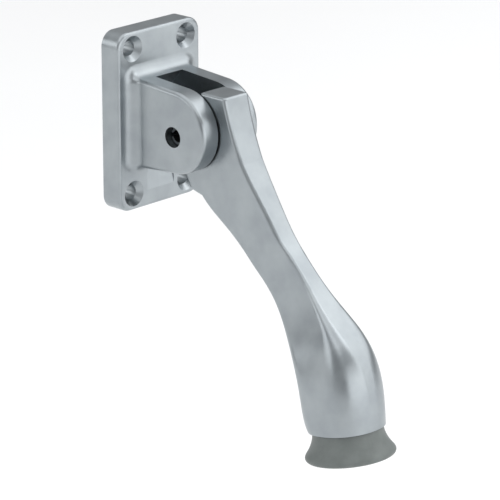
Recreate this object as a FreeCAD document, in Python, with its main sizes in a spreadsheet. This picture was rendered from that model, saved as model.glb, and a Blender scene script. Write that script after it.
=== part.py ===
import FreeCAD, Part
import math
import os
import Sketcher
from FreeCAD import Placement, Rotation, Vector

# Floor door holder: a cast bracket screwed to a door carries a lever on a
# cross pin, and the lever's rubber tip is kicked down on to the floor.
#
# Frame: origin at the middle of the bracket's back face, on the door.
# +X runs along the pin, +Y points into the door, +Z is up. The lever is in
# its working position, 34 degrees off straight down.

DIMENSIONS = {
    # Bracket plate, against the door
    "plate_height": 55.6,
    "plate_width": 34.9,
    "plate_thick": 7.0,
    "plate_corner": 4.6,
    "plate_edge": 1.0,
    # Its four screw holes, countersunk for number 8 screws
    "hole_across": 22.6,
    "hole_up": 45.2,
    "hole_dia": 4.6,
    "sink_dia": 8.0,
    "sink_angle": 90.0,
    # Ears and the slot between them
    "ears_width": 23.9,
    "slot_width": 11.4,
    "nose_radius": 12.7,
    "root_half_height": 14.0,
    "root_fillet": 4.0,
    "ear_edge": 1.3,
    "slot_radius": 20.0,
    "groove_bottom": 22.7,
    # Cross pin: a slotted spring pin, short of the ears' faces
    "pin_out": 24.2,
    "pin_drop": 1.3,
    "pin_dia": 6.35,
    "pin_length": 19.4,
    "pin_bore": 3.9,
    "pin_slot": 1.2,
    "pin_play": 0.05,
    "pin_lead": 0.5,
    # Lever: its head tapers from the crown's back corner down to the neck
    "head_width": 10.8,
    "head_rise": 26.0,
    "neck_width": 9.8,
    "hub_radius": 8.8,
    "lever_edge": 1.0,
    # Foot, its tilt off upright, and where its rim's middle is from the pin
    "foot_radius": 11.2,
    "foot_tilt": 9.5,
    "foot_out": 59.9,
    "foot_down": 79.6,
    "foot_front_round": 10.7,
    "foot_back_round": 9.6,
    # Rubber tip
    "tip_neck": 10.7,
    "tip_waist": 11.4,
    "tip_flare": 13.9,
    "tip_height": 9.0,
    "tip_round": 2.2,
    "tip_bore": 5.4,
    "tip_well": 11.6,
    "tip_well_depth": 4.8,
    # Screw and washer that hold the rubber tip
    "screw_dia": 4.8,
    "screw_length": 16.0,
    "screw_hole_spare": 1.0,
    "screw_point": 0.8,
    "screw_head_dia": 9.0,
    "screw_head_flat": 5.4,
    "screw_head_rim": 1.2,
    "screw_head_height": 2.6,
    "recess_across": 4.6,
    "recess_slot": 1.1,
    "recess_depth": 1.6,
    "washer_dia": 11.0,
    "washer_bore": 5.3,
    "washer_thick": 1.0,
    # Ball catch in the lever's head
    "catch_radius": 9.5,
    "catch_bore": 4.1,
    "ball_dia": 4.0,
    "ball_gap": 0.02,
    "dimple_depth": 0.5,
    "spring_dia": 3.6,
    "wire_dia": 0.5,
    "spring_length": 4.54,
    "spring_turns": 4.0,
}
CATCH_ANGLE = -45.0      # of the ball catch about the pin, up from outward
STOWED_TURN = 136.0      # of the lever, to its stowed place against the door
SLOT_START = 122.0       # angle about the pin where the slot's arc starts
CROWN_UP = 13.4          # the head's flat crown, above the pin
CROWN_FRONT = 14.8       # where the crown ends, outward from the pin
CROWN_BACK = 4.6
BROW = (17.7, 3.4)       # a point of the curve below the crown's front
HUB_LOW = 236.0          # angle about the pin where the hub meets the heel
HUB_BEHIND = 150.0
HEEL = (0.3, -17.6)      # the corner behind and below the hub
WIRE_SIDES = 6

doc = FreeCAD.newDocument("door_holder")
sheet = doc.addObject("Spreadsheet::Sheet", "Dimensions")
for row, (alias, value) in enumerate(DIMENSIONS.items(), start=1):
    sheet.set("A%d" % row, alias)
    sheet.set("B%d" % row, str(value))
    sheet.setAlias("B%d" % row, alias)
doc.recompute()


def size(alias):
    """The value of one cell of the sheet."""
    return float(sheet.get(alias))


def bind(obj, **cells):
    """Bind each property of obj to an expression in the sheet's cells."""
    for prop, expression in cells.items():
        for alias in sorted(DIMENSIONS, key=len, reverse=True):
            expression = expression.replace("<%s>" % alias, "Dimensions." + alias)
        obj.setExpression(prop.replace("__", "."), expression)


def make_body(label):
    body = doc.addObject("PartDesign::Body", label)
    body.Label = label
    return body


def sketch_on(body, name, role, offset=None):
    """A sketch on one of the body's own origin planes."""
    sketch = body.newObject("Sketcher::SketchObject", name)
    plane = next(f for f in body.Origin.OriginFeatures if f.Role == role)
    sketch.AttachmentSupport = (plane, [""])
    sketch.MapMode = "FlatFace"
    if offset is not None:
        sketch.AttachmentOffset = offset
    return sketch


def feature(body, kind, name, profile=None, **cells):
    """A PartDesign feature on a profile sketch, bound to the sheet."""
    item = body.newObject("PartDesign::" + kind, name)
    if profile is not None:
        item.Profile = profile
        profile.Visibility = False
    bind(item, **cells)
    return item


def check_smaller(body, before, name):
    """Stop if a cutting feature has taken nothing away."""
    doc.recompute()
    if body.Shape.Volume > before - 0.01:
        raise RuntimeError(name + " cuts nothing")


def dress(body, kind, name, wanted, **cells):
    """A fillet or chamfer on every edge of the body's tip that is wanted."""
    doc.recompute()
    base = body.Tip
    names = ["Edge%d" % (i + 1) for i, edge in enumerate(base.Shape.Edges) if wanted(edge)]
    if not names:
        raise RuntimeError(name + " finds no edge")
    item = body.newObject("PartDesign::" + kind, name)
    item.Base = (base, names)
    bind(item, **cells)
    doc.recompute()
    return item


def vector(point):
    return Vector(point[0], point[1], 0)


def draw(sketch, pieces):
    """Draw a closed outline: 2 points make a line, 3 an arc through them."""
    for piece in pieces:
        points = [vector(p) for p in piece]
        if len(points) == 2:
            sketch.addGeometry(Part.LineSegment(*points), False)
        else:
            sketch.addGeometry(Part.Arc(*points), False)


def add_circle(sketch, centre, radius_cells):
    """A circle whose radius is bound to an expression in the sheet's cells."""
    index = sketch.addGeometry(Part.Circle(vector(centre), Vector(0, 0, 1), 1.0), False)
    number = sketch.addConstraint(Sketcher.Constraint("Radius", index, 1.0))
    bind(sketch, **{"Constraints[%d]" % number: radius_cells})


def rounded_box(half_width, front, back, front_round, back_round):
    """A rounded rectangle whose front corners have their own radius."""
    def corner(cx, cy, radius, start):
        angles = [math.radians(start + turn) for turn in (0, 45, 90)]
        return [(cx + radius * math.cos(a), cy + radius * math.sin(a)) for a in angles]

    arcs = [
        corner(half_width - back_round, back - back_round, back_round, 0),
        corner(back_round - half_width, back - back_round, back_round, 90),
        corner(front_round - half_width, front_round - front, front_round, 180),
        corner(half_width - front_round, front_round - front, front_round, 270),
    ]
    pieces = []
    for arc, following in zip(arcs, arcs[1:] + arcs[:1]):
        pieces += [arc, (arc[2], following[0])]
    return pieces


def polar(radius, degrees):
    """A point about the pin: (outward, up) from a radius and an angle."""
    angle = math.radians(degrees)
    return (radius * math.cos(angle), radius * math.sin(angle))


def from_pin(point):
    """(outward, up) from the pin to a sketch's (Y, Z)."""
    return (-size("pin_out") - point[0], point[1] - size("pin_drop"))


def cut_across(body, name, point, radius_cells):
    """A bore along X, right through a body, about a point from the pin."""
    before = body.Shape.Volume
    sketch = sketch_on(body, name + "Circle", "YZ_Plane")
    add_circle(sketch, from_pin(point), radius_cells)
    bore = feature(body, "Pocket", name, sketch, Length="<plate_width>")
    bore.Midplane = True
    check_smaller(body, before, name)


# Bracket ---------------------------------------------------------------

def tangent_angle(distance, height, radius):
    """Where the line from (distance, height) touches a circle about 0."""
    reach = math.hypot(distance, height)
    return math.degrees(math.atan2(height, distance) + math.acos(radius / reach))


def ear_outline():
    """Side view of the ear block: a round nose and two flanks that spread."""
    nose_y = -size("pin_out")
    radius = size("nose_radius")
    reach = size("pin_out") - size("plate_thick")
    touch = math.radians(tangent_angle(reach, size("root_half_height"), radius))
    ty = nose_y + radius * math.cos(touch)
    tz = radius * math.sin(touch)
    root_y = -size("plate_thick")
    root_z = size("root_half_height")
    return [
        ((root_y, -root_z), (root_y, root_z)),
        ((root_y, root_z), (ty, tz)),
        ((ty, tz), (nose_y - radius, 0), (ty, -tz)),
        ((ty, -tz), (root_y, -root_z)),
    ]


def slot_outline():
    """Side view of the slot: an arc about the pin, then a groove that runs out."""
    radius = size("slot_radius")
    groove_end = (size("plate_thick") - size("pin_out"), size("pin_drop") - size("groove_bottom"))
    reach = math.hypot(*groove_end)
    end_angle = math.degrees(math.atan2(groove_end[1], groove_end[0])) + 360
    touch = end_angle - math.degrees(math.acos(radius / reach))
    top = polar(radius, SLOT_START)
    bottom = polar(radius, touch)
    clear = size("nose_radius") * 2
    corners = [groove_end, (clear, groove_end[1]), (clear, top[1]), top]
    middle = polar(radius, (SLOT_START + touch) / 2)
    pieces = [(top, middle, bottom), (bottom, groove_end)]
    pieces += list(zip(corners, corners[1:]))
    return [tuple(from_pin(p) for p in piece) for piece in pieces]


def build_bracket():
    body = make_body("mounting_bracket")

    outline = sketch_on(body, "PlateOutline", "XZ_Plane")
    half_w = size("plate_width") / 2
    half_h = size("plate_height") / 2
    corner = size("plate_corner")
    draw(outline, rounded_box(half_w, half_h, half_h, corner, corner))
    feature(body, "Pad", "Plate", outline, Length="<plate_thick>")
    dress(body, "Fillet", "PlateFrontEdge", plate_front_edge, Radius="<plate_edge>")

    side = sketch_on(body, "EarOutline", "YZ_Plane")
    draw(side, ear_outline())
    ears = feature(body, "Pad", "EarBlock", side, Length="<ears_width>")
    ears.Midplane = True
    dress(body, "Fillet", "EarEdges", ear_side_edge, Radius="<ear_edge>")
    dress(body, "Fillet", "EarRoot", ear_root_edge, Radius="<root_fillet>")

    before = body.Shape.Volume
    slot_side = sketch_on(body, "SlotOutline", "YZ_Plane")
    draw(slot_side, slot_outline())
    slot = feature(body, "Pocket", "Slot", slot_side, Length="<slot_width>")
    slot.Midplane = True
    check_smaller(body, before, "Slot")

    cut_across(body, "PinHole", (0, 0), "<pin_dia> / 2")

    for name, turn in (("DimpleDown", 0.0), ("DimpleStowed", STOWED_TURN)):
        add_dimples(body, name, CATCH_ANGLE + turn)
    add_screw_holes(body)
    return body


def plate_front_edge(edge):
    """Edges of the plate's front face, all round."""
    return all(abs(v.Point.y + size("plate_thick")) < 0.01 for v in edge.Vertexes)


def ear_side_edge(edge):
    """Edges of the ears' two outer faces, except where they meet the plate."""
    at_side = all(abs(abs(v.Point.x) - size("ears_width") / 2) < 0.01 for v in edge.Vertexes)
    middle = edge.valueAt((edge.FirstParameter + edge.LastParameter) / 2)
    return at_side and middle.y < -size("plate_thick") - 0.5


def ear_root_edge(edge):
    """Edges round the foot of the ear block, on the plate's front face."""
    points = [v.Point for v in edge.Vertexes]
    on_face = all(abs(p.y + size("plate_thick")) < 0.01 for p in points)
    in_height = all(abs(p.z) < size("root_half_height") + 0.01 for p in points)
    in_width = all(abs(p.x) < size("ears_width") / 2 + 0.01 for p in points)
    return on_face and in_height and in_width


def add_dimples(body, name, angle):
    """A shallow dimple in the inner face of each ear, for the catch balls."""
    before = body.Shape.Volume
    y, z = from_pin(polar(size("catch_radius"), angle))
    out = size("slot_width") / 2 + size("dimple_depth") - size("ball_dia") / 2
    for side, x in (("Left", -out), ("Right", out)):
        ball = body.newObject("PartDesign::SubtractiveSphere", name + side)
        bind(ball, Radius="<ball_dia> / 2")
        ball.AttachmentOffset = Placement(Vector(x, y, z), Rotation())
        plane = next(f for f in body.Origin.OriginFeatures if f.Role == "XY_Plane")
        ball.AttachmentSupport = (plane, [""])
        ball.MapMode = "FlatFace"
        doc.recompute()
    check_smaller(body, before, name)


def add_screw_holes(body):
    """Four countersunk holes, at the corners of a rectangle."""
    offset = Placement(Vector(0, 0, size("plate_thick")), Rotation())
    corners = [(across, up) for across in (-0.5, 0.5) for up in (-0.5, 0.5)]
    for number, (across, up) in enumerate(corners, start=1):
        before = body.Shape.Volume
        sketch = sketch_on(body, "ScrewCentre%d" % number, "XZ_Plane", offset)
        centre = (across * size("hole_across"), up * size("hole_up"))
        add_circle(sketch, centre, "<hole_dia> / 2")
        doc.recompute()
        hole = feature(body, "Hole", "ScrewHole%d" % number, sketch)
        doc.recompute()
        hole.DepthType = "ThroughAll"
        hole.HoleCutType = "Countersink"
        hole.HoleCutCustomValues = True
        bind(hole, Diameter="<hole_dia>", HoleCutDiameter="<sink_dia>")
        bind(hole, HoleCutCountersinkAngle="<sink_angle>")
        check_smaller(body, before, hole.Name)


# Lever -----------------------------------------------------------------

# Sections down the lever, from the head to just above the foot's rim:
# front point (outward, up) from the pin, tilt off upright, depth front to
# back, half width, radius of the front corners and of the back corners.
SECTIONS = [
    ((17.9, 1.0), 36.0, 20.5, 5.0, 1.0, 1.0),
    ((21.5, -5.8), 38.0, 21.2, 4.9, 1.0, 1.0),
    ((25.9, -12.6), 40.0, 18.9, 4.5, 1.0, 1.0),
    ((31.8, -21.1), 42.0, 16.0, 3.95, 1.0, 1.0),
    ((38.2, -29.0), 42.5, 15.0, 3.6, 1.1, 1.1),
    ((44.8, -35.7), 41.0, 15.5, 3.6, 1.2, 1.3),
    ((51.1, -42.1), 36.0, 16.9, 4.7, 1.6, 1.7),
    ((57.6, -47.8), 28.0, 19.2, 6.5, 3.0, 2.6),
    ((64.2, -54.6), 18.0, 21.2, 8.9, 6.4, 3.6),
    ((68.6, -64.0), 11.0, 22.0, 10.5, 8.8, 4.8),
    ((70.4, -73.4), 9.5, 22.3, 11.0, 10.0, 6.8),
]
HEAD_END = 1             # the section where the extruded head ends


def build_lever():
    body = make_body("holder_arm")
    side = sketch_on(body, "HeadOutline", "YZ_Plane")
    draw(side, head_outline())
    head = feature(body, "Pad", "Head", side, Length="<head_width>")
    head.Midplane = True
    taper_head(body)
    dress(body, "Fillet", "HeadEdges", head_edge, Radius="<lever_edge>")

    sketches = []
    for number, (front, tilt, depth, half_width, front_round, back_round) in enumerate(SECTIONS):
        out = front[0] - depth / 2 * math.cos(math.radians(tilt))
        up = front[1] - depth / 2 * math.sin(math.radians(tilt))
        offset = section_place((out, up), tilt)
        sketch = sketch_on(body, "Section%d" % number, "XY_Plane", offset)
        draw(sketch, rounded_box(half_width, depth / 2, depth / 2, front_round, back_round))
        sketches.append(sketch)
    rim_place = section_place((size("foot_out"), -size("foot_down")), size("foot_tilt"))
    rim = sketch_on(body, "Rim", "XY_Plane", rim_place)
    radius = size("foot_radius")
    rounds = (size("foot_front_round"), size("foot_back_round"))
    draw(rim, rounded_box(radius, radius, radius, *rounds))
    sketches.append(rim)
    doc.recompute()
    loft = body.newObject("PartDesign::AdditiveLoft", "Shank")
    loft.Profile = sketches[0]
    loft.Sections = sketches[1:]
    doc.recompute()

    cut_across(body, "PinBore", (0, 0), "<pin_dia> / 2 + <pin_play>")
    catch = polar(size("catch_radius"), CATCH_ANGLE)
    cut_across(body, "CatchBore", catch, "<catch_bore> / 2")
    add_tip_hole(body, rim_place)
    return body


def section_place(point, tilt):
    """Place of a section square to the lever: its front is -y, its top +z."""
    y, z = from_pin(point)
    return Placement(Vector(0, y, z), Rotation(Vector(1, 0, 0), -tilt))


def head_outline():
    """Side view of the lever's square head, down to the first section."""
    front, tilt, depth = SECTIONS[HEAD_END][:3]
    slant = math.radians(tilt)
    back = (front[0] - depth * math.cos(slant), front[1] - depth * math.sin(slant))
    crown = (CROWN_FRONT, CROWN_UP)
    crown_back = (CROWN_BACK, CROWN_UP)
    hub = size("hub_radius")
    hub_top = (CROWN_BACK, math.sqrt(hub ** 2 - CROWN_BACK ** 2))
    hub_low = polar(hub, HUB_LOW)
    pieces = [
        (hub_low, HEEL),
        (HEEL, back),
        (back, front),
        (front, BROW, crown),
        (crown, crown_back),
        (crown_back, hub_top),
        (hub_top, polar(hub, HUB_BEHIND), hub_low),
    ]
    return [tuple(from_pin(p) for p in piece) for piece in pieces]


def above_head_end(point):
    """How far a point lies up the lever from the end of its head."""
    front, tilt = SECTIONS[HEAD_END][:2]
    slant = math.radians(tilt)
    out = -size("pin_out") - point.y - front[0]
    up = point.z + size("pin_drop") - front[1]
    return up * math.cos(slant) - out * math.sin(slant)


def taper_head(body):
    """Cut the head's two sides to a taper that is narrowest at its end."""
    doc.recompute()
    before = body.Shape.Volume
    front, tilt = SECTIONS[HEAD_END][:2]
    y, z = from_pin(front)
    along = Placement(Vector(0, z, -y), Rotation(Vector(1, 0, 0), -tilt))
    sketch = sketch_on(body, "TaperSides", "XZ_Plane", along)
    crown = size("head_width") / 2
    neck = size("neck_width") / 2
    rise = size("head_rise")
    below = neck - (crown - neck) / rise
    for side in (-1, 1):
        wedge = [(below, -1), (crown, rise), (crown * 2, rise), (crown * 2, -1)]
        corners = [(side * x, up) for x, up in wedge]
        draw(sketch, list(zip(corners, corners[1:] + corners[:1])))
    taper = feature(body, "Pocket", "HeadTaper", sketch, Length="<plate_height> * 2")
    taper.Midplane = True
    check_smaller(body, before, "HeadTaper")


def head_edge(edge):
    """The head's long side edges above its end, and its crown's two edges."""
    middle = edge.valueAt((edge.FirstParameter + edge.LastParameter) / 2)
    at_side = all(abs(v.Point.x) > size("neck_width") / 2 - 0.01 for v in edge.Vertexes)
    out = -size("pin_out") - middle.y
    up = middle.z + size("pin_drop")
    on_hub = math.hypot(out, up) < size("hub_radius") + 0.01
    crosses = abs(middle.x) < 0.01
    long_side = at_side and not crosses and above_head_end(middle) > 0.3 and not on_hub
    return long_side or (crosses and up > CROWN_UP - 0.01)


def add_tip_hole(body, rim_place):
    """Blind hole up the foot's axis, for the screw that holds the tip."""
    before = body.Shape.Volume
    sketch = sketch_on(body, "TipHoleCircle", "XY_Plane", rim_place)
    add_circle(sketch, (0, 0), "<screw_dia> / 2")
    hole = feature(body, "Pocket", "TipHole", sketch, Length="<screw_length>")
    hole.Reversed = True
    check_smaller(body, before, "TipHole")


# Pin, catch and tip ----------------------------------------------------

def build_pin():
    """Slotted spring pin: a rolled tube, open along its door side."""
    body = make_body("pivot_pin")
    y, z = from_pin((0, 0))
    ring = sketch_on(body, "PinRing", "YZ_Plane")
    add_circle(ring, (0, 0), "<pin_dia> / 2")
    add_circle(ring, (0, 0), "<pin_bore> / 2")
    tube = feature(body, "Pad", "Tube", ring, Length="<pin_length>")
    tube.Midplane = True
    dress(body, "Chamfer", "PinLead", pin_end_edge, Size="<pin_lead>")
    before = body.Shape.Volume
    gap = sketch_on(body, "PinGap", "YZ_Plane")
    half = size("pin_slot") / 2
    far = size("pin_dia")
    corners = [(0, -half), (far, -half), (far, half), (0, half), (0, -half)]
    draw(gap, list(zip(corners, corners[1:])))
    cut = feature(body, "Pocket", "Gap", gap, Length="<pin_length> * 1.1")
    cut.Midplane = True
    check_smaller(body, before, "Gap")
    body.Placement = Placement(Vector(0, y, z), Rotation())
    return body


def pin_end_edge(edge):
    """The outer edge at each end of the pin."""
    point = edge.Vertexes[0].Point
    at_end = abs(abs(point.x) - size("pin_length") / 2) < 0.01
    return at_end and abs(math.hypot(point.y, point.z) - size("pin_dia") / 2) < 0.01


def build_balls():
    """Two balls that look out of the lever's head towards the ears."""
    y, z = from_pin(polar(size("catch_radius"), CATCH_ANGLE))
    out = size("slot_width") / 2 - size("ball_gap") - size("ball_dia") / 2
    for label, x in (("detent_ball_left", -out), ("detent_ball_right", out)):
        ball = doc.addObject("Part::Sphere", label)
        ball.Label = label
        bind(ball, Radius="<ball_dia> / 2")
        ball.Placement = Placement(Vector(x, y, z), Rotation())


def build_spring():
    """Small compression spring between the two balls, along X."""
    y, z = from_pin(polar(size("catch_radius"), CATCH_ANGLE))
    coil_radius = (size("spring_dia") - size("wire_dia")) / 2
    height = size("spring_length") - size("wire_dia")
    helix = doc.addObject("Part::Helix", "SpringLine")
    bind(helix, Pitch="(<spring_length> - <wire_dia>) / <spring_turns>")
    bind(helix, Height="<spring_length> - <wire_dia>")
    bind(helix, Radius="(<spring_dia> - <wire_dia>) / 2")
    wire = doc.addObject("Part::RegularPolygon", "SpringWire")
    wire.Polygon = WIRE_SIDES
    bind(wire, Circumradius="<wire_dia> / 2")
    wire.Placement = Placement(Vector(coil_radius, 0, 0), Rotation(Vector(1, 0, 0), 90))
    spring = doc.addObject("Part::Sweep", "detent_spring")
    spring.Label = "detent_spring"
    spring.Sections = [wire]
    spring.Spine = (helix, [])
    spring.Solid = True
    spring.Frenet = True
    spring.Placement = Placement(Vector(-height / 2, y, z), Rotation(Vector(0, 1, 0), 90))


def place_on_foot(body):
    """Put a piece built about its own +Z on the foot's axis, at the rim."""
    rim = section_place((size("foot_out"), -size("foot_down")), size("foot_tilt"))
    body.Placement = rim


def build_tip():
    """Rubber tip: a bell turned about the foot's axis, with a well below."""
    body = make_body("rubber_tip")
    flare = size("tip_flare")
    height = size("tip_height")
    chamfer = size("tip_round") / 2
    bore = size("tip_bore") / 2
    well = size("tip_well") / 2
    ceiling = size("tip_well_depth") - height
    widest = size("tip_round") - height
    half = sketch_on(body, "TipHalf", "XZ_Plane")
    outline = [
        (bore, 0),
        (size("tip_neck"), 0),
        (size("tip_waist"), widest / 2),
        (flare, widest),
        (flare, chamfer - height),
        (flare - chamfer, -height),
        (well, -height),
        (well, ceiling),
        (bore, ceiling),
    ]
    draw(half, list(zip(outline, outline[1:] + outline[:1])))
    turn = feature(body, "Revolution", "Bell", half)
    turn.ReferenceAxis = (half, ["V_Axis"])
    place_on_foot(body)


def build_washer():
    """Plain washer on the ceiling of the tip's well."""
    body = make_body("tip_washer")
    top = size("tip_well_depth") - size("tip_height")
    ring = sketch_on(body, "WasherRing", "XY_Plane", Placement(Vector(0, 0, top), Rotation()))
    add_circle(ring, (0, 0), "<washer_dia> / 2")
    add_circle(ring, (0, 0), "<washer_bore> / 2")
    pad = feature(body, "Pad", "Ring", ring, Length="<washer_thick>")
    pad.Reversed = True
    place_on_foot(body)


def build_screw():
    """Pan head screw with a cross recess, up through the tip into the foot."""
    body = make_body("tip_screw")
    seat = size("tip_well_depth") - size("tip_height") - size("washer_thick")
    face = seat - size("screw_head_height")
    reach = size("screw_length") - size("screw_hole_spare")
    radius = size("screw_dia") / 2
    point = size("screw_point")
    head_radius = size("screw_head_dia") / 2
    half = sketch_on(body, "ScrewHalf", "XZ_Plane")
    outline = [
        (0, reach),
        (radius - point, reach),
        (radius, reach - point),
        (radius, seat),
        (head_radius, seat),
        (head_radius, seat - size("screw_head_rim")),
        (size("screw_head_flat") / 2, face),
        (0, face),
    ]
    draw(half, list(zip(outline, outline[1:] + outline[:1])))
    turn = feature(body, "Revolution", "Shank", half)
    turn.ReferenceAxis = (half, ["V_Axis"])
    doc.recompute()

    before = body.Shape.Volume
    below = Placement(Vector(0, 0, face), Rotation())
    cross = sketch_on(body, "CrossRecess", "XY_Plane", below)
    end = size("recess_across") / 2
    side = size("recess_slot") / 2
    corners = []
    for quarter in range(4):
        turned = Rotation(Vector(0, 0, 1), 90 * quarter)
        for corner in ((side, side), (side, end), (-side, end)):
            corners.append(tuple(turned.multVec(vector(corner)))[:2])
    draw(cross, list(zip(corners, corners[1:] + corners[:1])))
    recess = feature(body, "Pocket", "Recess", cross, Length="<recess_depth>")
    recess.Reversed = True
    check_smaller(body, before, "Recess")
    place_on_foot(body)


NODES = [
    "mounting_bracket",
    "pivot_pin",
    "holder_arm",
    "detent_spring",
    "detent_ball_left",
    "detent_ball_right",
    "rubber_tip",
    "tip_washer",
    "tip_screw",
]

build_bracket()
build_pin()
build_lever()
build_balls()
build_spring()
build_tip()
build_washer()
build_screw()
doc.recompute()

for obj in doc.Objects:
    if "Invalid" in obj.State or "Error" in obj.State:
        raise RuntimeError("%s failed: %s" % (obj.Name, obj.State))
os.makedirs("parts", exist_ok=True)
for node in NODES:
    shape = doc.getObjectsByLabel(node)[0].Shape
    if shape.isNull() or not shape.isValid():
        raise RuntimeError(node + " is not a valid shape")
for node in NODES:
    shape = doc.getObjectsByLabel(node)[0].Shape
    shape.exportStep("parts/%s.step" % node)
    print("%-18s %8.1f mm3  %d solid" % (node, shape.Volume, len(shape.Solids)))
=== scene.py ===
# %% [markdown]
# # A floor door holder in Blender
#
# A floor door holder is screwed near the bottom of a door. Its lever is
# kicked down so that a rubber tip grips the floor, and kicked up to let the
# door go. This lesson starts from a finished CAD model of it and gives that
# model its looks: cast and brushed metal, moulded rubber, oiled steel.
#
# The CAD model comes in as a frame. Its pieces keep their places and sizes,
# so everything below works in metres, in the CAD model's own axes:
# +X along the pin, +Y into the door, +Z up.

# %% Load the frame
import bpy
import math
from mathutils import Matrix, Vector


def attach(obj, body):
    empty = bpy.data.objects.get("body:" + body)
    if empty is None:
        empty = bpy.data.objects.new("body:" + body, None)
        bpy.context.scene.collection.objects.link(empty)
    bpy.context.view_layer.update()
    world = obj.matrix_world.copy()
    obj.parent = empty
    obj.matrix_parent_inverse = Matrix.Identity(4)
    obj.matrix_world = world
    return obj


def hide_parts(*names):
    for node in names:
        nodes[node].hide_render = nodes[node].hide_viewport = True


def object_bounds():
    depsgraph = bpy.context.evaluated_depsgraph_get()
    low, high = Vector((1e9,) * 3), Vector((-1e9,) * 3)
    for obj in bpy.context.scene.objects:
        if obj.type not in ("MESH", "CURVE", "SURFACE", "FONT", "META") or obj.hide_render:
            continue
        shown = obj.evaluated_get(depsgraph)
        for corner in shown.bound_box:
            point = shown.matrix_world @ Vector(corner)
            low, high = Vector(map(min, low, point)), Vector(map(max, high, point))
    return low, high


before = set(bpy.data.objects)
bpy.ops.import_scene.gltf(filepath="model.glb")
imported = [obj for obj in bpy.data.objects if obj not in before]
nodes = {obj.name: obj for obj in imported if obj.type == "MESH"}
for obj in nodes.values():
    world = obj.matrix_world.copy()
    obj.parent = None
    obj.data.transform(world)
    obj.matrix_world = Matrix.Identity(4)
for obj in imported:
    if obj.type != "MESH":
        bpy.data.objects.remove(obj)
MM = 0.001
cad_low, cad_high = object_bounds()
print("CAD box, mm:", [round(v / MM, 1) for v in (cad_high - cad_low)])

# %% [markdown]
# ## Two small helpers
#
# Colours are easiest to pick as sRGB hex codes, but shaders add light in
# linear values, so one function turns a code into linear red, green and
# blue. A second function adds a node, sets its values and links its inputs,
# which keeps each material down to a few readable lines.

# %% Helpers for colours and nodes
def linear(hex_code):
    """An sRGB colour such as "B4BCC2" as linear red, green, blue and alpha."""
    channels = [int(hex_code[i:i + 2], 16) / 255 for i in (0, 2, 4)]
    curve = [
        c / 12.92 if c <= 0.04045 else ((c + 0.055) / 1.055) ** 2.4
        for c in channels
    ]
    return (*curve, 1.0)


def add_node(tree, kind, settings=None, values=None, links=None):
    """A new shader node, its settings, its inputs' values and its inputs' links."""
    node = tree.nodes.new("ShaderNode" + kind)
    for name, value in (settings or {}).items():
        setattr(node, name, value)
    for name, value in (values or {}).items():
        node.inputs[name].default_value = value
    for name, source in (links or {}).items():
        tree.links.new(source, node.inputs[name])
    return node


def start_material(name, **shader_values):
    """A material with a Principled shader, and where on the object it is."""
    material = bpy.data.materials.new(name)
    material.use_nodes = True
    tree = material.node_tree
    shader = tree.nodes["Principled BSDF"]
    for key, value in shader_values.items():
        shader.inputs[key.replace("_", " ")].default_value = value
    place = add_node(tree, "TexCoord").outputs["Object"]
    return material, tree, shader, place


def grain(tree, place, size_mm, detail=3.0):
    """Noise that changes over about size_mm millimetres of the object."""
    return add_node(
        tree, "TexNoise",
        values={"Scale": 1.0 / (size_mm * MM), "Detail": detail},
        links={"Vector": place},
    ).outputs["Fac"]


def between(tree, amount, low, high):
    """Turns 0.3 to 0.7 of a noise into a value from low to high."""
    return add_node(
        tree, "MapRange",
        values={"From Min": 0.3, "From Max": 0.7, "To Min": low, "To Max": high},
        links={"Value": amount},
    ).outputs["Result"]


def tint(tree, amount, dark, light):
    """A colour between two hex codes, by a noise."""
    ramp = add_node(tree, "ValToRGB", links={"Fac": amount})
    ramp.color_ramp.elements[0].position = 0.3
    ramp.color_ramp.elements[0].color = linear(dark)
    ramp.color_ramp.elements[1].position = 0.7
    ramp.color_ramp.elements[1].color = linear(light)
    return ramp.outputs["Color"]


def bump(tree, height, depth_mm, strength=1.0):
    """A bump whose full height is depth_mm millimetres."""
    return add_node(
        tree, "Bump",
        values={"Strength": strength, "Distance": depth_mm * MM},
        links={"Height": height},
    ).outputs["Normal"]


print("helpers ready; mid grey 808080 is", round(linear("808080")[0], 3), "in linear light")

# %% [markdown]
# ## Satin cast aluminium
#
# The bracket and the lever are castings that were belt-brushed and then
# satin finished. To the eye that gives a pale metal with no mirror image in
# it: broad, soft highlights, a faint clouding some 8 mm across where the
# belt pressed harder, and a fine grit that shows as a soft sparkle. The real
# grit is near 0.1 mm, which the eye loses when the whole holder is in view,
# so it is drawn at 0.4 mm.

# %% Satin cast aluminium
satin, tree, shader, place = start_material("satin_cast_aluminium", Metallic=1.0)
cloud = grain(tree, place, 8.0)
grit = grain(tree, place, 0.4, detail=2.0)
tree.links.new(tint(tree, cloud, "979DA1", "A6ACAF"), shader.inputs["Base Color"])
tree.links.new(between(tree, cloud, 0.29, 0.36), shader.inputs["Roughness"])
tree.links.new(bump(tree, grit, 0.012), shader.inputs["Normal"])
print("made", satin.name)

# %% [markdown]
# ## Moulded grey rubber
#
# The tip is moulded from a filled grey rubber. It is matt, a little lighter
# where its skin has bloomed, and slightly pitted from the mould.

# %% Moulded grey rubber
rubber, tree, shader, place = start_material("moulded_grey_rubber", IOR=1.52)
bloom = grain(tree, place, 5.0)
pits = grain(tree, place, 0.5, detail=2.0)
tree.links.new(tint(tree, bloom, "5F6563", "6E7472"), shader.inputs["Base Color"])
tree.links.new(between(tree, bloom, 0.42, 0.55), shader.inputs["Roughness"])
tree.links.new(bump(tree, pits, 0.03), shader.inputs["Normal"])
print("made", rubber.name)

# %% [markdown]
# ## Oiled spring steel, ground balls and bright zinc
#
# The pin and the small spring are hardened steel, left dark and oiled. The
# catch balls are ground and polished. The washer and the screw under the tip
# are zinc plated, a slightly blue and finely speckled metal.

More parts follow.
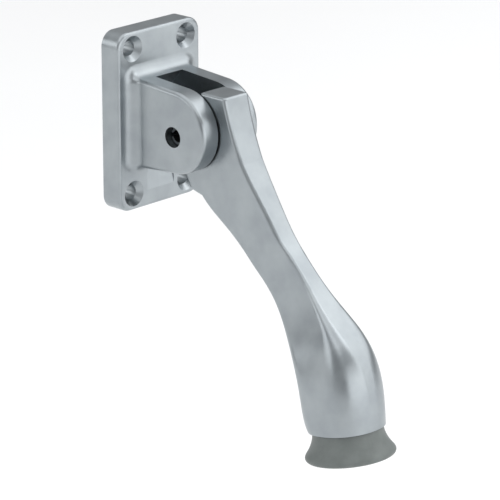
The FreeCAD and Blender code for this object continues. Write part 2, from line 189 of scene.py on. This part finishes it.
# %% Oiled spring steel
oiled, tree, shader, place = start_material("oiled_spring_steel", Metallic=1.0)
scale = grain(tree, place, 1.5)
tree.links.new(tint(tree, scale, "54585A", "686C6E"), shader.inputs["Base Color"])
tree.links.new(between(tree, scale, 0.35, 0.5), shader.inputs["Roughness"])
print("made", oiled.name)

# %% Ground bearing steel
ground, tree, shader, place = start_material("ground_bearing_steel", Metallic=1.0)
haze = grain(tree, place, 1.0)
tree.links.new(tint(tree, haze, "B9BBBD", "C6C8CA"), shader.inputs["Base Color"])
tree.links.new(between(tree, haze, 0.08, 0.14), shader.inputs["Roughness"])
print("made", ground.name)

# %% Bright zinc plate
zinc, tree, shader, place = start_material("bright_zinc_plate", Metallic=1.0)
speckle = grain(tree, place, 0.6)
tree.links.new(tint(tree, speckle, "B0B6BC", "C4C9CE"), shader.inputs["Base Color"])
tree.links.new(between(tree, speckle, 0.22, 0.34), shader.inputs["Roughness"])
tree.links.new(bump(tree, speckle, 0.008), shader.inputs["Normal"])
print("made", zinc.name)

# %% Give each CAD piece its material
FINISHES = {
    "mounting_bracket": satin,
    "holder_arm": satin,
    "pivot_pin": oiled,
    "detent_spring": oiled,
    "detent_ball_left": ground,
    "detent_ball_right": ground,
    "rubber_tip": rubber,
    "tip_washer": zinc,
    "tip_screw": zinc,
}
for name, material in FINISHES.items():
    mesh = nodes[name].data
    mesh.materials.clear()
    mesh.materials.append(material)
print("finished", len(FINISHES), "of", len(nodes), "CAD pieces")

# %% [markdown]
# ## The rubber tip, turned as it is moulded
#
# The CAD tip has the right sizes, but its flare is drawn with straight
# slopes. Here the same tip is turned from a profile and then smoothed, so
# its flare is the soft curve a mould gives. Each point of the profile is a
# radius and a depth below the foot's rim, in millimetres. Points that sit
# close together keep an edge crisp, and far apart they let it round.

# %% Turn the rubber tip
RIM_CENTRE = Vector((0.0, -84.1, -80.9)) * MM
TILT = math.radians(9.5)
DOWN = Vector((0.0, -math.sin(TILT), -math.cos(TILT)))
ACROSS = Vector((1.0, 0.0, 0.0))
FORWARD = DOWN.cross(ACROSS)
TIP_PROFILE = [
    (2.7, 0.0), (2.9, 0.0), (10.2, 0.0), (10.65, 0.1),
    (10.7, 0.6), (10.8, 2.0), (11.4, 4.0), (12.5, 6.0),
    (13.4, 7.1), (13.75, 7.8), (13.6, 8.5), (13.0, 8.95),
    (12.2, 9.0), (6.1, 9.0), (5.8, 8.9), (5.8, 8.4),
    (5.8, 5.1), (5.7, 4.8), (2.9, 4.8), (2.7, 4.7), (2.7, 0.3),
]
TURNS = 48


def turned(name, profile, steps):
    """A ring-shaped mesh: the closed profile turned about the foot's axis."""
    points = []
    for step in range(steps):
        angle = 2 * math.pi * step / steps
        outward = ACROSS * math.cos(angle) + FORWARD * math.sin(angle)
        points += [RIM_CENTRE + (outward * r + DOWN * depth) * MM for r, depth in profile]
    count = len(profile)
    faces = []
    for step in range(steps):
        here, there = step * count, (step + 1) % steps * count
        for i in range(count):
            j = (i + 1) % count
            faces.append((here + i, there + i, there + j, here + j))
    mesh = bpy.data.meshes.new(name)
    mesh.from_pydata(points, [], faces)
    mesh.polygons.foreach_set("use_smooth", [True] * len(faces))
    piece = bpy.data.objects.new(name, mesh)
    bpy.context.scene.collection.objects.link(piece)
    return piece


soft_tip = turned("moulded_tip", TIP_PROFILE, TURNS)
smooth = soft_tip.modifiers.new("smooth", "SUBSURF")
smooth.levels = 1
smooth.render_levels = 2
soft_tip.data.materials.append(rubber)
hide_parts("rubber_tip")
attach(soft_tip, "lever")
print("turned the tip from", len(TIP_PROFILE), "points")

# %% [markdown]
# ## The floor
#
# The stage is a plain pale floor, well below the lever's whole swing.

# %% Lay the floor
FLOOR_Z = -0.16
FLOOR_REACH = 6.0
floor_mesh = bpy.data.meshes.new("floor")
corners = [
    (x * FLOOR_REACH, y * FLOOR_REACH, FLOOR_Z)
    for x, y in ((-1, -1), (1, -1), (1, 1), (-1, 1))
]
floor_mesh.from_pydata(corners, [], [(0, 1, 2, 3)])
floor = bpy.data.objects.new("floor", floor_mesh)
bpy.context.scene.collection.objects.link(floor)
paint, tree, shader, place = start_material("pale_floor_paint", Roughness=0.9)
patches = grain(tree, place, 300.0)
tree.links.new(tint(tree, patches, "F8F8F8", "FBFBFB"), shader.inputs["Base Color"])
floor_mesh.materials.append(paint)
print("floor at", FLOOR_Z, "m; the object reaches down to", round(cad_low.z, 3), "m")

# %% [markdown]
# ## The light
#
# Satin metal shows what surrounds it, so the light is what makes it look
# like metal. A very large box overhead keeps the floor white. A key to the
# upper right picks out the lever's front face, and a wide low box in front
# makes the right half of the round foot pale. The fill on the left is
# weaker, and a small high one catches the rounded edges and the knee.
# Between the front box and the fill there is no light low down, and that gap
# draws the dark band down the middle of the foot.

# %% Hang the soft boxes
middle = (cad_low + cad_high) / 2


def direction(azimuth, elevation):
    """Away from the object. Azimuth 0 is its front, and +90 is its right."""
    level = math.cos(elevation)
    return Vector((
        math.sin(azimuth) * level,
        -math.cos(azimuth) * level,
        math.sin(elevation),
    ))


def soft_box(name, azimuth, elevation, distance, width, height, power):
    """A flat light that faces the object, placed by angles in degrees."""
    light = bpy.data.lights.new(name, "AREA")
    light.shape = "RECTANGLE"
    light.size = width
    light.size_y = height
    light.energy = power
    lamp = bpy.data.objects.new(name, light)
    bpy.context.scene.collection.objects.link(lamp)
    away = direction(math.radians(azimuth), math.radians(elevation))
    lamp.location = middle + away * distance
    lamp.rotation_euler = away.to_track_quat("Z", "Y").to_euler()


soft_box("overhead", 0, 88, 2.2, 4.0, 4.0, 48)
soft_box("key_right", 61, 37, 1.2, 1.1, 1.0, 4.8)
soft_box("front", 8, 8, 1.2, 2.0, 0.6, 5.4)
soft_box("fill_left", -122, 18, 1.2, 1.4, 0.5, 3.0)
soft_box("fill_high", -62, 46, 1.2, 1.0, 0.3, 0.75)

world = bpy.data.worlds.new("studio_air")
bpy.context.scene.world = world
world.use_nodes = True
air = world.node_tree.nodes["Background"]
air.inputs["Color"].default_value = linear("F2F4F6")
air.inputs["Strength"].default_value = 0.45
bpy.context.scene.view_settings.view_transform = "Standard"

# %% [markdown]
# ## The camera
#
# The camera looks from the left and a little above, from about a metre away
# with a long lens, so that parallel edges stay nearly parallel.

# %% Place the camera
CAMERA_AIM = Vector((0.0, -0.0445, -0.0348))
CAMERA_AWAY = 0.9542
CAMERA_AZIMUTH = math.radians(-46.73)
CAMERA_ELEVATION = math.radians(18.37)
camera_data = bpy.data.cameras.new("camera")
camera_data.lens = 229.8
camera = bpy.data.objects.new("camera", camera_data)
bpy.context.scene.collection.objects.link(camera)
bpy.context.scene.camera = camera
away = direction(CAMERA_AZIMUTH, CAMERA_ELEVATION)
camera.location = CAMERA_AIM + away * CAMERA_AWAY
camera.rotation_euler = away.to_track_quat("Z", "Y").to_euler()
print("camera at", [round(v, 3) for v in camera.location])
